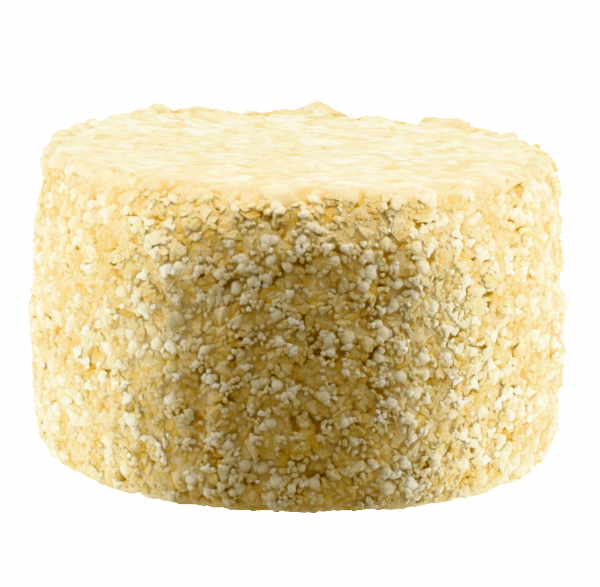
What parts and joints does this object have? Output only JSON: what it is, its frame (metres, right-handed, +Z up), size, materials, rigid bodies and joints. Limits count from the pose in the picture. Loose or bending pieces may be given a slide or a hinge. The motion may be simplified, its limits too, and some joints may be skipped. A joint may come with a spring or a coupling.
{
  "type": "whole grey cheese wheel",
  "caption": "Squat drum of crumbly pressed curd cheese with a flat pressed top, a bulging granular wall, a ragged rim and a flat base.",
  "frame": {"origin": "middle of the flat base, on the surface that the cheese stands on", "axes": "+Z up along the drum's axis; the front, with the torn rim and the hollows under it, faces -Y; the taller side is -X"},
  "size_m": [0.17, 0.1716, 0.1027],
  "materials": {
    "curd": "moist pressed curd: matt white clumps and waxy straw-yellow grains, amber in the gaps"
  },
  "bodies": {
    "root": {"cheese": "curd"}
  },
  "joints": []
}
